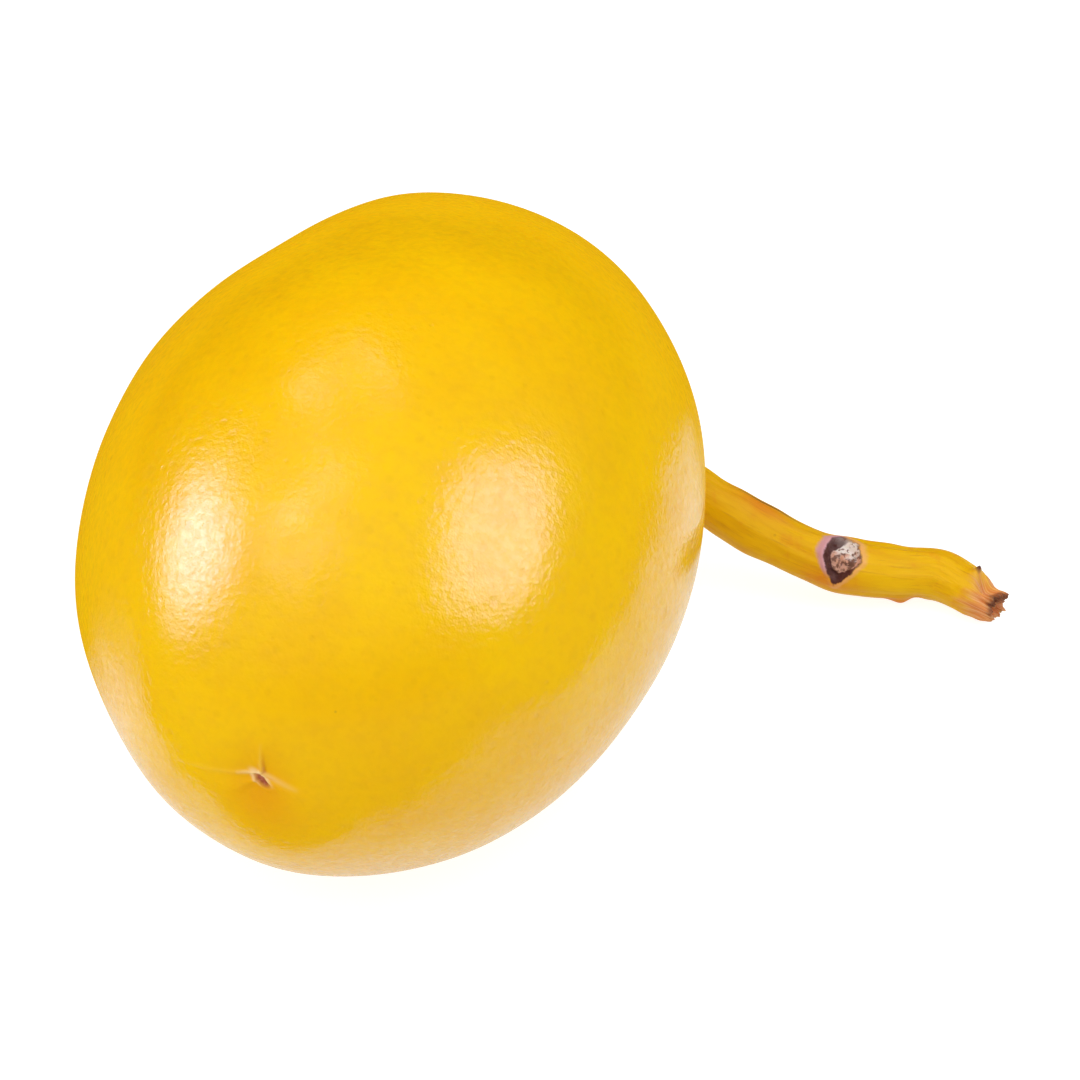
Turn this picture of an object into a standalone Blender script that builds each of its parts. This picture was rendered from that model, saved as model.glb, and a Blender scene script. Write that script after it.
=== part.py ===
"""A barhi date as picked, with the short piece of strand that it grew on.

The fruit lies along Y, its tip towards -Y and its stem end towards +Y, and rests at the origin on
a small flat spot. Petals and sepals cap the stem end, and the strand crosses the cap and runs
down beside the fruit. Sizes are in metres, with +Z up.
"""

import math

import bmesh
import bpy
from mathutils import Matrix, Vector
from mathutils.geometry import interpolate_bezier

MM = 0.001
TURN = 2 * math.pi

# Fruit: a long oval, very slightly fuller towards its tip
FRUIT_LENGTH = 37.0 * MM
FRUIT_DIAMETER = 27.2 * MM
FULLER_AT_TIP = 0.025
OVAL_SECTION = 0.008  # share by which the round section is drawn out one way
LOBED_SECTION = 0.005  # share by which the section bulges three ways
FLAT_SPOT_DEPTH = 0.3 * MM
FRUIT_STEPS_ROUND = 60
FRUIT_STEPS_LONG = 42

# Tip of the fruit: a shallow dimple, three low ridges running out of it, and the dried style
DIMPLE_RADIUS = 1.5 * MM
DIMPLE_DEPTH = 0.26 * MM
STYLE_RADIUS = 0.36 * MM
STYLE_HEIGHT = 0.34 * MM
RIDGE_COUNT = 3
RIDGE_TURN = math.radians(30)
RIDGE_REACH = 2.4 * MM
RIDGE_HEIGHT = 0.12 * MM

# Stem end of the fruit: the dished seat under the petals
SEAT_RADIUS = 4.6 * MM
SEAT_DEPTH = 0.75 * MM

# Petals: three broad rounded blades, each lying with one side over the next one
GAP = 0.3 * MM  # clearance between pieces that touch on the real date
BLADE = 0.62 * MM  # thickness of petals and sepals
PETAL_REACH = 4.9 * MM
PETAL_HALF_SPREAD = math.radians(71)
PETAL_SIDE_LIFT = 0.5 * MM
PETAL_EDGE_FLARE = 0.2 * MM
PETAL_ROOT = 0.8 * MM
FIRST_PETAL_TURN = math.radians(-7)

# Sepals: a smaller cup of three blunt points, set between the petals
SEPAL_REACH = 3.1 * MM
SEPAL_HALF_SPREAD = math.radians(63)
SEPAL_HEIGHT = 1.35 * MM  # height of its underside over the fruit
SEPAL_EDGE_FLARE = 0.2 * MM
SEPAL_ROOT = 0.7 * MM
BOSS_RADIUS = 1.3 * MM
BOSS_RISE = 0.68 * MM  # above the sepals

# Strand: the route of its middle line as x, y, z and radius in millimetres, from its cut end
# behind the fruit, over the cap, down to the surface and along it to the broken end
STRAND_ROUTE = (
    (-1.9, 22.00, 13.80, 1.14),
    (0.0, 22.00, 13.20, 1.28),
    (1.7, 21.50, 10.40, 1.18),
    (3.9, 19.95, 6.75, 1.08),
    (6.4, 18.45, 5.05, 1.06),
    (9.2, 17.50, 4.30, 1.14),
    (11.4, 17.45, 3.30, 1.30),
    (14.0, 17.35, 2.50, 1.18),
    (16.2, 17.55, 2.00, 1.32),
    (18.3, 18.20, 1.62, 1.28),
    (20.5, 18.95, 1.42, 1.21),
    (22.4, 18.55, 1.30, 1.06),
    (23.8, 18.25, 1.22, 0.70),
)
STRAND_SIDES = 24
STRAND_STEP = 0.36 * MM

# Scar on the strand where a neighbouring date came away, facing up and towards the tip side
SCAR_ROUTE_POINT = 8
SCAR_FACING = Vector((0.22, -0.62, 0.75))
SCAR_RADIUS = 1.0 * MM
SCAR_RIM = 0.16 * MM
SCAR_DEPTH = 0.36 * MM

# Broken end of the strand: a small hooked splinter and an uneven hollow face
SPLINTER_BACK = 1.15 * MM
SPLINTER_TURN = math.radians(120)
SPLINTER_HEIGHT = 0.6 * MM
SPLINTER_RADIUS = 0.36 * MM
BREAK_UNEVEN = 0.24 * MM
BREAK_HOLLOW = 0.3 * MM

FRUIT_RADIUS = FRUIT_DIAMETER / 2
HALF_LENGTH = FRUIT_LENGTH / 2
AXIS_HEIGHT = FRUIT_RADIUS - FLAT_SPOT_DEPTH


def bell(distance, width):
    """A smooth bump: 1 at no distance, falling away over the width."""
    return math.exp(-((distance / width) ** 2))


def fruit_point(polar, around):
    """Point of the fruit's skin in its own axes, with Z along the fruit and its tip at -Z.

    polar runs from 0 at the tip to pi at the stem end, and around goes round the axis.
    """
    fuller = 1 + FULLER_AT_TIP * math.cos(polar)
    section = 1 + OVAL_SECTION * math.cos(2 * around - 1.2) + LOBED_SECTION * math.cos(3 * around + 1.2)
    radius = FRUIT_RADIUS * math.sin(polar) * fuller * section
    along = -HALF_LENGTH * math.cos(polar)
    if polar < math.pi / 2:
        ridge = max(0, math.cos(RIDGE_COUNT * (around - RIDGE_TURN))) ** 3
        along += DIMPLE_DEPTH * bell(radius, DIMPLE_RADIUS)
        along -= STYLE_HEIGHT * bell(radius, STYLE_RADIUS)
        along -= RIDGE_HEIGHT * ridge * bell(radius, RIDGE_REACH) * min(1, radius / STYLE_RADIUS)
    else:
        along -= SEAT_DEPTH * math.exp(-((radius / SEAT_RADIUS) ** 4))
    return Vector((radius * math.cos(around), radius * math.sin(around), along))


def over_stem_end(distance, around, height):
    """Point at a height over the fruit's stem end, at a distance from the axis."""
    polar = math.pi - math.asin(distance / FRUIT_RADIUS)
    small = 0.01
    on_skin = fruit_point(polar, around)
    outward = (fruit_point(polar - small, around) - on_skin).cross(fruit_point(polar, around + small) - on_skin)
    return on_skin + outward.normalized() * height


def add_object(name, mesh, material, parent=None):
    """Puts a mesh in the scene under a name, smooth but for its sharp edges."""
    thing = bpy.data.objects.new(name, mesh)
    bpy.context.scene.collection.objects.link(thing)
    thing.parent = parent
    if material:
        mesh.materials.clear()
        mesh.materials.append(material)
    mesh.shade_smooth()
    mesh.set_sharp_from_angle(angle=math.radians(40))
    return thing


def plain_material(name, colour, roughness):
    """A non-metal material of one colour, given as linear red, green and blue."""
    material = bpy.data.materials.new(name)
    material.use_nodes = True
    shader = material.node_tree.nodes["Principled BSDF"]
    shader.inputs["Base Color"].default_value = (*colour, 1)
    shader.inputs["Roughness"].default_value = roughness
    shader.inputs["Metallic"].default_value = 0
    return material


def make_fruit(axis, material):
    """The berry, spun from its profile, bent slightly out of round and cut flat where it rests."""
    bm = bmesh.new()
    profile = []
    for step in range(FRUIT_STEPS_LONG + 1):
        share = 0.5 - 0.5 * math.cos(math.pi * step / FRUIT_STEPS_LONG)  # closer together at both ends
        profile.append(bm.verts.new((math.sin(math.pi * share), 0, -math.cos(math.pi * share))))
    edges = [bm.edges.new(pair) for pair in zip(profile, profile[1:])]
    bmesh.ops.spin(
        bm, geom=profile + edges, cent=(0, 0, 0), axis=(0, 0, 1), angle=TURN, steps=FRUIT_STEPS_ROUND
    )
    bmesh.ops.remove_doubles(bm, verts=bm.verts, dist=1e-5)
    for vert in bm.verts:
        polar = math.acos(max(-1, min(1, -vert.co.z)))
        vert.co = fruit_point(polar, math.atan2(vert.co.y, vert.co.x))
    bmesh.ops.recalc_face_normals(bm, faces=bm.faces)
    everything = bm.verts[:] + bm.edges[:] + bm.faces[:]
    bmesh.ops.bisect_plane(
        bm, geom=everything, dist=1e-6, plane_co=(0, AXIS_HEIGHT, 0), plane_no=(0, 1, 0), clear_outer=True
    )
    rim = [edge for edge in bm.edges if edge.is_boundary]
    bmesh.ops.contextual_create(bm, geom=rim)
    bmesh.ops.recalc_face_normals(bm, faces=bm.faces)
    mesh = bpy.data.meshes.new("fruit")
    bm.to_mesh(mesh)
    bm.free()
    return add_object("fruit", mesh, material, axis)


def blade(name, facing, spread, root, reach_at, height_at, rows, columns):
    """One petal or sepal: a sheet over the stem end from root out to its edge, with its thickness.

    reach_at(side) is how far it reaches from the axis, with side from -1 to 1 across the blade,
    and height_at(side, out) its height over the fruit, with out from 0 at the root to 1 at the edge.
    """
    bm = bmesh.new()
    grid = []
    for row in range(rows + 1):
        out = row / rows
        line = []
        for column in range(columns + 1):
            side = 2 * column / columns - 1
            distance = root + (reach_at(side) - root) * out
            line.append(bm.verts.new(over_stem_end(distance, facing + side * spread, height_at(side, out))))
        grid.append(line)
    for inner, outer in zip(grid, grid[1:]):
        for column in range(columns):
            bm.faces.new((inner[column], outer[column], outer[column + 1], inner[column + 1]))
    mesh = bpy.data.meshes.new(name)
    bm.to_mesh(mesh)
    bm.free()
    thing = add_object(name, mesh, None)
    solid = thing.modifiers.new("thickness", "SOLIDIFY")
    solid.thickness = BLADE
    solid.offset = 1
    solid.use_even_offset = True
    return thing


def disc(name, radius, low, high):
    """A round pad on the fruit's axis between two heights over the stem end."""
    bm = bmesh.new()
    middle = fruit_point(math.pi, 0).z + (low + high) / 2
    bmesh.ops.create_cone(
        bm, cap_ends=True, segments=24, radius1=radius, radius2=radius * 0.92, depth=high - low,
        matrix=Matrix.Translation((0, 0, middle)),
    )
    mesh = bpy.data.meshes.new(name)
    bm.to_mesh(mesh)
    bm.free()
    return add_object(name, mesh, None)


def fuse(name, pieces, axis, material):
    """Joins overlapping pieces into one solid under a name, and removes the pieces."""
    group = bpy.data.collections.new(name + "_pieces")
    for piece in pieces[1:]:
        group.objects.link(piece)
    union = pieces[0].modifiers.new("union", "BOOLEAN")
    union.operation = "UNION"
    union.operand_type = "COLLECTION"
    union.collection = group
    union.solver = "EXACT"
    depsgraph = bpy.context.evaluated_depsgraph_get()
    mesh = bpy.data.meshes.new_from_object(pieces[0].evaluated_get(depsgraph))
    for piece in pieces:
        bpy.data.objects.remove(piece)
    bpy.data.collections.remove(group)
    return add_object(name, mesh, material, axis)


def make_petals(axis, material):
    """The three petals, fused round a small disc."""

    def reach_at(side):
        return PETAL_ROOT + (PETAL_REACH - PETAL_ROOT) * (0.4 + 0.6 * math.sqrt(1 - abs(side) ** 2.4))

    def height_at(side, out):
        return GAP + PETAL_SIDE_LIFT * (0.5 + 0.5 * side) * out + PETAL_EDGE_FLARE * out**3

    blades = [
        blade(
            f"petal_{n}", FIRST_PETAL_TURN + TURN * n / 3, PETAL_HALF_SPREAD, PETAL_ROOT,
            reach_at, height_at, rows=7, columns=14,
        )
        for n in range(3)
    ]
    return fuse("petals", [disc("petal_disc", 1.5 * MM, GAP, GAP + BLADE), *blades], axis, material)


def make_sepals(axis, material):
    """The cup of three sepals, fused round the boss that the strand bears on."""

    def reach_at(side):
        return SEPAL_ROOT + (SEPAL_REACH - SEPAL_ROOT) * (0.55 + 0.45 * (1 - abs(side) ** 1.5))

    def height_at(side, out):
        return SEPAL_HEIGHT + SEPAL_EDGE_FLARE * out**2

    blades = [
        blade(
            f"sepal_{n}", FIRST_PETAL_TURN + TURN * (n + 0.5) / 3, SEPAL_HALF_SPREAD, SEPAL_ROOT,
            reach_at, height_at, rows=5, columns=12,
        )
        for n in range(3)
    ]
    boss = disc("boss", BOSS_RADIUS, SEPAL_HEIGHT, SEPAL_HEIGHT + BLADE + BOSS_RISE)
    return fuse("sepals", [boss, *blades], axis, material)


def strand_stations():
    """Points and radii evenly along the strand's smooth middle line, and the scar's place on it."""
    knots = [Vector(knot[:3]) * MM for knot in STRAND_ROUTE]
    radii = [knot[3] * MM for knot in STRAND_ROUTE]
    before = [knots[0] * 2 - knots[1], *knots[:-1]]
    after = [*knots[1:], knots[-1] * 2 - knots[-2]]
    slopes = [(late - early) / 6 for early, late in zip(before, after)]
    points, sizes, scar = [], [], None
    for n in range(len(knots) - 1):
        if n == SCAR_ROUTE_POINT:
            scar = len(points)
        count = max(2, round((knots[n + 1] - knots[n]).length / STRAND_STEP))
        curve = interpolate_bezier(
            knots[n], knots[n] + slopes[n], knots[n + 1] - slopes[n + 1], knots[n + 1], count + 1
        )
        for step in range(count):
            ease = (1 - math.cos(math.pi * step / count)) / 2
            points.append(curve[step])
            sizes.append(radii[n] + (radii[n + 1] - radii[n]) * ease)
    return [*points, knots[-1]], [*sizes, radii[-1]], scar


def scar_relief(offset, facing, radius):
    """Height of the scar's rim and pit at a point of the strand's skin."""
    across = offset - facing * offset.dot(facing)
    if offset.dot(facing) < 0:
        return 0
    spot = across.length / radius
    pit = 1 / (1 + math.exp((spot - 0.72) * 10))
    return SCAR_RIM * bell(spot - 1, 0.36) - SCAR_DEPTH * pit + SCAR_DEPTH * 0.6 * bell(spot, 0.3)


def make_strand(material):
    """The woody strand: rings along its middle line, with the scar and the splinter raised on them."""
    points, sizes, scar = strand_stations()
    lengths = [0.0]
    for early, late in zip(points, points[1:]):
        lengths.append(lengths[-1] + (late - early).length)
    bm = bmesh.new()
    loops = []
    for n, point in enumerate(points):
        ahead = (points[min(n + 1, len(points) - 1)] - points[max(n - 1, 0)]).normalized()
        side = ahead.cross(Vector((0, 0, 1))).normalized()
        top = side.cross(ahead)
        from_end = lengths[-1] - lengths[n]
        ring = []
        for corner in range(STRAND_SIDES):
            angle = TURN * corner / STRAND_SIDES
            outward = side * math.cos(angle) + top * math.sin(angle)
            radius = sizes[n] * (1 + 0.035 * math.cos(2 * angle + 0.8))
            offset = point + outward * radius - points[scar]
            radius += scar_relief(offset, SCAR_FACING.normalized(), SCAR_RADIUS)
            splinter = Vector((from_end - SPLINTER_BACK, radius * (angle - SPLINTER_TURN)))
            radius += SPLINTER_HEIGHT * bell(splinter.length, SPLINTER_RADIUS)
            jagged = BREAK_UNEVEN * math.cos(3 * angle + 0.6) * bell(from_end, 0.8 * MM)
            ring.append(bm.verts.new(point + outward * radius + ahead * jagged))
        loops.append(ring)
    for early, late in zip(loops, loops[1:]):
        for corner in range(STRAND_SIDES):
            following = (corner + 1) % STRAND_SIDES
            bm.faces.new((early[corner], early[following], late[following], late[corner]))
    close_end(bm, loops[0], points[0] - points[1], 0)
    close_end(bm, loops[-1], points[-1] - points[-2], BREAK_HOLLOW)
    bmesh.ops.recalc_face_normals(bm, faces=bm.faces)
    mesh = bpy.data.meshes.new("strand")
    bm.to_mesh(mesh)
    bm.free()
    return add_object("strand", mesh, material)


def close_end(bm, ring, outward, hollow):
    """Closes one end of the strand with a narrower rim and a fan, sunk in by the hollow."""
    middle = sum((vert.co for vert in ring), Vector()) / len(ring)
    outward = outward.normalized()
    rim = [bm.verts.new(middle + (vert.co - middle) * 0.7) for vert in ring]
    centre = bm.verts.new(middle - outward * hollow)
    for corner in range(len(ring)):
        following = (corner + 1) % len(ring)
        bm.faces.new((ring[corner], ring[following], rim[following], rim[corner]))
        bm.faces.new((rim[corner], rim[following], centre))


def main():
    for thing in list(bpy.data.objects):
        bpy.data.objects.remove(thing)
    skin = plain_material("amber_skin", (0.82, 0.46, 0.004), 0.3)
    petal = plain_material("dry_petal", (0.42, 0.24, 0.07), 0.6)
    sepal = plain_material("dry_sepal", (0.17, 0.09, 0.035), 0.7)
    bark = plain_material("yellow_strand", (0.72, 0.36, 0.006), 0.45)

    axis = bpy.data.objects.new("fruit_axis", None)
    bpy.context.scene.collection.objects.link(axis)
    axis.location = (0, 0, AXIS_HEIGHT)
    axis.rotation_euler = (-math.pi / 2, 0, 0)  # turns the fruit's own Z to +Y

    make_fruit(axis, skin)
    make_petals(axis, petal)
    make_sepals(axis, sepal)
    make_strand(bark)


main()
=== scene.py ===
import bpy
import numpy as np
from mathutils import Matrix, Vector


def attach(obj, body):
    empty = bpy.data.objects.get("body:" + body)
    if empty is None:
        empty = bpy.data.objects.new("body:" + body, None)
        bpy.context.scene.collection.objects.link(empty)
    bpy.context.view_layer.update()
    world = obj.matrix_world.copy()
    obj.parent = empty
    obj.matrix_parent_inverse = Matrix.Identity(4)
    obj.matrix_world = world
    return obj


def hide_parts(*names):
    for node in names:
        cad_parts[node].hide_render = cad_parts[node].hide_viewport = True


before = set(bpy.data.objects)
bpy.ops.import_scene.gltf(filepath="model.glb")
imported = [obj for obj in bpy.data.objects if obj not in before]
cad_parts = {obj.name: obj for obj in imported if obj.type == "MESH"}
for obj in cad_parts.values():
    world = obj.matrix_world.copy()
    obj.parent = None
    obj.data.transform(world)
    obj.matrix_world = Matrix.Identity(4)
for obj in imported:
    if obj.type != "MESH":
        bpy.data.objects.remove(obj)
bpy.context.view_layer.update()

mm = 0.001
turn = 2 * np.pi
scene = bpy.context.scene
scene.view_settings.view_transform = "Standard"  # keeps the yellow as clean as the photo's

fruitMiddle = Vector((0, 0, 13.3))  # the fruit's axis lies this high over the floor


# Small tools for shapes

def bell(distance, width):
    return np.exp(-((distance / width) ** 2))  # 1 at no distance, falling away over the width


def ramp(value, start, end):
    share = np.clip((value - start) / (end - start), 0, 1)  # smooth step from start to end
    return share * share * (3 - 2 * share)


def lumps(points, size, seed, count=24):
    # Soft lumps of about unit height: a sum of sine waves in random directions, each near the given length
    pick = np.random.default_rng(seed)
    heading = pick.normal(size=(count, 3))
    heading *= turn / (size * pick.uniform(0.7, 1.5, (count, 1)) * np.linalg.norm(heading, axis=1, keepdims=True))
    return np.sin(points @ heading.T + pick.uniform(0, turn, count)).sum(-1) / np.sqrt(count / 2)


def unit(vectors):
    return vectors / np.linalg.norm(vectors, axis=-1, keepdims=True)


def allRound(count):
    return np.linspace(0, turn, count, endpoint=False)[None]  # a row of angles, evenly round a full turn


def joined(*parts):
    return np.stack(np.broadcast_arrays(*parts), -1)  # coordinates side by side, spread to one size


def waves(angle, parts):
    # Waves round a full turn, each with its height, its number and where it starts
    return sum(height * np.cos(number * angle + start) for height, number, start in parts)


def offLine(x, y, start, end):
    # How far points lie from a straight line between two points, and how far along it, from 0 to 1
    start, end = np.array(start), np.array(end)
    way = end - start
    along = ((x - start[0]) * way[0] + (y - start[1]) * way[1]) / (way @ way)
    held = np.clip(along, 0, 1)
    return np.hypot(x - start[0] - held * way[0], y - start[1] - held * way[1]), held


def ringQuads(rows, columns):
    # Points numbered ring by ring, each one's neighbour on its own ring, and the quads between the rings
    ids = np.arange(rows * columns).reshape(rows, columns)
    after = np.roll(ids, -1, axis=1)
    return ids, after, np.stack([ids[:-1], after[:-1], after[1:], ids[1:]], -1).reshape(-1, 4)


def closedMesh(name, shells):
    # Each shell is a stack of rings: neighbours are joined by quads all the way round, and the first and
    # last ring are closed by a fan to a point. A shell that comes out inside out is turned round.
    points, faces, marks, done = [], [], {}, 0
    for shell in shells:
        rings = shell["rings"]
        rows, columns = rings.shape[:2]
        count = rows * columns
        own = np.vstack([rings.reshape(-1, 3), shell["first"], shell["last"]])
        ids, after, quads = ringQuads(rows, columns)
        fans = np.vstack([
            np.stack([after[0], ids[0], np.full(columns, count)], -1),
            np.stack([ids[-1], after[-1], np.full(columns, count + 1)], -1),
        ])
        halves = np.vstack([quads[:, [0, 1, 2]], quads[:, [0, 2, 3]]])
        corner, second, third = (own - own.mean(0))[halves].transpose(1, 0, 2)
        if np.sum(corner * np.cross(second, third)) < 0:  # six times the volume that the quads close
            quads, fans = quads[:, ::-1], fans[:, ::-1]
        points.append(own * mm)
        faces += (quads + done).tolist() + (fans + done).tolist()
        for label, values in shell["marks"].items():
            flat = values.reshape(count, -1)
            ends = [flat[:columns].mean(0), flat[-columns:].mean(0)]
            marks.setdefault(label, []).append(np.vstack([flat, ends]))
        done += count + 2
    mesh = bpy.data.meshes.new(name)
    mesh.from_pydata(np.vstack(points).tolist(), [], faces)
    mesh.shade_smooth()
    for label, parts in marks.items():
        values = np.vstack(parts).astype(np.float32)
        kind, field = ("FLOAT", "value") if values.shape[1] == 1 else ("FLOAT_VECTOR", "vector")
        mesh.attributes.new(label, kind, "POINT").data.foreach_set(field, values.ravel())
    return mesh


def placed(name, data):
    thing = bpy.data.objects.new(name, data)
    scene.collection.objects.link(thing)
    return thing


def addPiece(name, shells, material, node):
    piece = placed(name, closedMesh(name, shells))
    piece.data.materials.append(material)
    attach(piece, "root")
    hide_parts(node)
    print(name, "has", len(piece.data.polygons), "faces")


# Small tools for materials

def addNode(tree, kind, feeds=(), **settings):
    # A shader node with its settings; its sockets take values or other nodes' outputs
    node = tree.nodes.new(kind if kind.startswith("Node") else "ShaderNode" + kind)
    for name, value in settings.items():
        setattr(node, name, value)
    for socket, value in dict(feeds).items():
        if isinstance(value, bpy.types.NodeSocket):
            tree.links.new(value, node.inputs[socket])
        else:
            node.inputs[socket].default_value = value
    return node


def mixed(tree, share, base, other):
    base, other = [(*colour, 1) if isinstance(colour, tuple) else colour for colour in (base, other)]
    return addNode(tree, "Mix", {0: share, 6: base, 7: other}, data_type="RGBA").outputs[2]


def worked(tree, operation, first, second=0.0):
    return addNode(tree, "Math", {0: first, 1: second}, operation=operation).outputs[0]


def times(tree, value, *others):
    for other in others:  # one after the other
        value = worked(tree, "MULTIPLY", value, other)
    return value


def added(tree, base, value, share):
    # The base with a share of the value on top
    return worked(tree, "ADD", base, times(tree, value, share))


def jittered(tree, value, grain, swing):
    # A value pushed up or down by a grain of 0 to 1, by half the swing at most
    return added(tree, value, worked(tree, "SUBTRACT", grain, 0.5), swing)


def stretched(tree, value, low, high, newLow=0.0, newHigh=1.0):
    # Smooth step of a value between two levels, put between two new ones
    feeds = {"Value": value, "From Min": low, "From Max": high, "To Min": newLow, "To Max": newHigh}
    return addNode(tree, "MapRange", feeds, interpolation_type="SMOOTHSTEP").outputs[0]


def measured(tree, vector, operation, other=(0, 0, 0)):
    return addNode(tree, "VectorMath", {0: vector, 1: other}, operation=operation).outputs["Value"]


def noise(tree, place, scale, detail, roughness=0.5):
    feeds = {"Vector": place, "Scale": scale, "Detail": detail, "Roughness": roughness}
    return addNode(tree, "TexNoise", feeds).outputs[0]


def splitUp(tree, vector):
    return addNode(tree, "SeparateXYZ", {0: vector}).outputs


def attribute(tree, name, output="Fac"):
    return addNode(tree, "Attribute", attribute_name=name).outputs[output]


def tinted(tree, look, colour, *tints):
    # The colour under tints, each with a mask and the share it has where the mask is 1. A mask may be the name
    # of a piece's mark, and a tint's colour the name of one in the look
    for mask, share, tint in tints:
        mask = attribute(tree, mask) if isinstance(mask, str) else mask
        tint = look[tint] if isinstance(tint, str) else tint
        colour = mixed(tree, times(tree, mask, share), colour, tint)
    return colour


def newGroup(name, **entries):
    # A node group with one output and named inputs, each a number or, where its first value is None, a vector
    group = bpy.data.node_groups.new(name, "ShaderNodeTree")
    for label, value in entries.items():
        kind = "NodeSocketVector" if value is None else "NodeSocketFloat"
        socket = group.interface.new_socket(label, in_out="INPUT", socket_type=kind)
        if value is not None:
            socket.default_value = value
    group.interface.new_socket("Value", in_out="OUTPUT", socket_type="NodeSocketFloat")
    return group, addNode(group, "NodeGroupInput").outputs, addNode(group, "NodeGroupOutput").inputs[0]


def useGroup(tree, group, **feeds):
    return addNode(tree, "Group", feeds, node_tree=group).outputs[0]


def newMaterial(name, **constants):
    material = bpy.data.materials.new(name)
    material.use_nodes = True
    tree = material.node_tree
    shader = tree.nodes["Principled BSDF"]
    for socket, value in constants.items():
        shader.inputs[socket.replace("_", " ")].default_value = value
    coords = addNode(tree, "TexCoord").outputs["Object"]
    inMm = addNode(tree, "Mapping", {"Vector": coords, "Scale": (1000, 1000, 1000)}).outputs[0]
    return material, tree, shader, inMm


def finishMaterial(tree, shader, colour, roughness, height, depth):
    # depth is how tall the height map's 0 to 1 stands, in millimetres
    bump = addNode(tree, "Bump", {"Height": height, "Distance": depth * mm, "Strength": 1.0})
    for socket, value in (("Base Color", colour), ("Roughness", roughness), ("Normal", bump.outputs[0])):
        tree.links.new(value, shader.inputs[socket])


# Effects that several materials share

def makeBlotches():
    # Soft patches: layered noise of a size in millimetres, cut between two levels
    group, entry, leave = newGroup("softBlotches", Place=None, Size=5.0, From=0.4, To=0.6, Detail=3.0)
    grain = noise(group, entry["Place"], worked(group, "DIVIDE", 1.0, entry["Size"]), entry["Detail"])
    group.links.new(stretched(group, grain, entry["From"], entry["To"]), leave)
    return group


def makeSpecks():
    # Scattered round specks: cells of a spacing, of which a share holds a dot of a size in the cell
    group, entry, leave = newGroup("fineSpecks", Place=None, Spacing=1.0, Size=0.2, Share=0.5)
    scale = worked(group, "DIVIDE", 1.0, entry["Spacing"])
    cells = addNode(group, "TexVoronoi", {"Vector": entry["Place"], "Scale": scale})
    pick = addNode(group, "SeparateColor", {"Color": cells.outputs["Color"]})
    chosen = worked(group, "LESS_THAN", pick.outputs["Red"], entry["Share"])
    size = times(group, entry["Size"], worked(group, "ADD", 0.5, pick.outputs["Green"]))
    inner = times(group, size, 0.35)  # a dot is full up to here, and gone at its size
    dot = stretched(group, cells.outputs["Distance"], inner, size, 1.0, 0.0)
    group.links.new(times(group, dot, chosen), leave)
    return group


def makeFibres():
    # Long fibres: layered noise squeezed along the third coordinate of a place that follows the piece
    group, entry, leave = newGroup("fibreGrain", Along=None, Spacing=0.2, Stretch=12.0, Detail=3.0)
    parts = splitUp(group, entry["Along"])
    slow = worked(group, "DIVIDE", parts[2], entry["Stretch"])
    place = addNode(group, "CombineXYZ", {0: parts[0], 1: parts[1], 2: slow}).outputs[0]
    scale = worked(group, "DIVIDE", 1.0, entry["Spacing"])
    group.links.new(noise(group, place, scale, entry["Detail"], 0.55), leave)
    return group


blotches, specks, fibres = makeBlotches(), makeSpecks(), makeFibres()
print("shared effects are ready")


# Camera, at the photo's viewing angle

photoView = {
    "back": (0.2651, -0.7333, 0.6262),  # from the fruit's middle towards the camera
    "distance": 413,
    "aimAcross": 6.55,  # right of the fruit's middle, in mm
    "aimUp": -0.63,  # and above it
    "lens": 302.7,
    "nearest": 0.01,  # in metres
}


def aimed(place, target, roll=0.0):
    # A matrix at a place, its -Z towards the target and its X level, then turned by roll
    facing = (place - target).normalized()
    level = Vector((0, 0, 1)).cross(facing).normalized()
    turned = Matrix((level, facing.cross(level), facing)).transposed().to_4x4()
    return Matrix.Translation(place) @ turned @ Matrix.Rotation(roll, 4, "Z")


def makeCamera():
    back = Vector(photoView["back"]).normalized()
    across = Vector((0, 0, 1)).cross(back).normalized()
    upward = back.cross(across)
    eye = fruitMiddle + back * photoView["distance"]
    target = fruitMiddle + across * photoView["aimAcross"] + upward * photoView["aimUp"]
    lens = bpy.data.cameras.new("photoView")
    lens.lens = photoView["lens"]
    lens.clip_start = photoView["nearest"]
    scene.camera = placed("photoView", lens)
    scene.camera.matrix_world = aimed(eye * mm, target * mm)


makeCamera()
print("camera is set")


# Light: two softboxes and two dim patchy panels that the gloss mirrors, a soft dome for matt colour and a
# pale floor that glows from below

# Azimuth and elevation in degrees and sizes in mm, seen from the fruit's middle. Of its half size, a box glows
# evenly as far as the first share and eases off to nothing at the second. One with patches of a size in mm is
# dark between them
softboxes = {
    "leftBox": {"from": (-70, 28), "size": (505, 560), "roll": -30, "watts": 10.1, "glow": (0.0, 0.95)},
    "rightBox": {"from": (95, 34), "size": (420, 490), "roll": 32, "watts": 3.15, "glow": (0.4, 0.95)},
    "haloPanel": {"from": (-35, 66), "size": (520, 390), "roll": 38, "watts": 2.1, "glow": (0.3, 1.0),
                  "patches": 110},
    "sheenPanel": {"from": (-145, 64), "size": (340, 240), "roll": 33, "watts": 0.75, "glow": (0.3, 1.0),
                   "patches": 110},
}
panelPatches = {"detail": 5.0, "roughness": 0.62, "darkBelow": 0.40, "fullAbove": 0.62}  # their noise
domeGlows = {  # broad soft glows on the dome round the scene, which light the matt colour
    "left": {"from": (-46, 34), "sharpness": 5, "strength": 1.6},
    "right": {"from": (106, 32), "sharpness": 5, "strength": 1.35},
    "top": {"from": (15, 84), "sharpness": 4, "strength": 1.5},
    "front": {"from": (20, 30), "sharpness": 4, "strength": 0.5},
    "warmBack": {"from": (-160, 8), "sharpness": 2, "strength": 0.45, "tint": (1.0, 0.42, 0.01)},
}
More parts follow.
